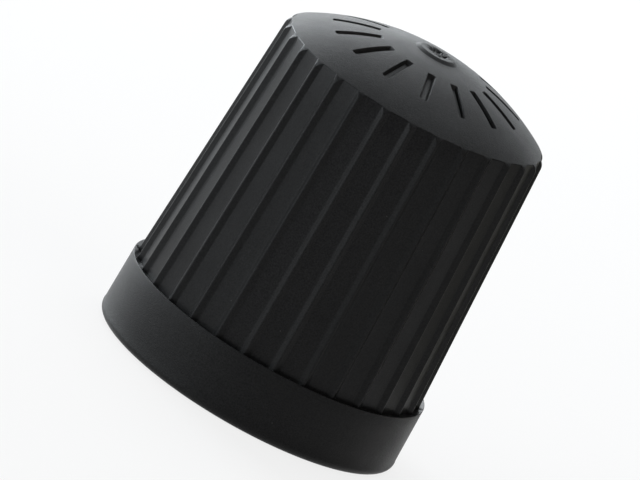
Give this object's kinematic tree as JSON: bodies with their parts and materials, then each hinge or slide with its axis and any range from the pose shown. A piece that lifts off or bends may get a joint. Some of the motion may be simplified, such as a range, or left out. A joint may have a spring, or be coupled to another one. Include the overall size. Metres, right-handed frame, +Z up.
{
  "type": "tyre valve cap",
  "caption": "Screw-on dust cap for a tyre valve stem: a tapered, finely ribbed plastic grip with a domed crown, a plain foot collar and a threaded blind socket.",
  "frame": {"origin": "centre of the open mouth, on the flat rim that the cap stands on", "axes": "+Z up the cap's axis from the mouth to the crown; -Y faces the picture's camera, with the middle of a flute on it"},
  "size_m": [0.0106, 0.0106, 0.0125],
  "materials": {
    "black_plastic": "satin black moulded plastic, fine spark-eroded grain on the crown and collar, smoother in the flutes"
  },
  "bodies": {
    "root": {"valve_cap": "black_plastic"}
  },
  "joints": []
}
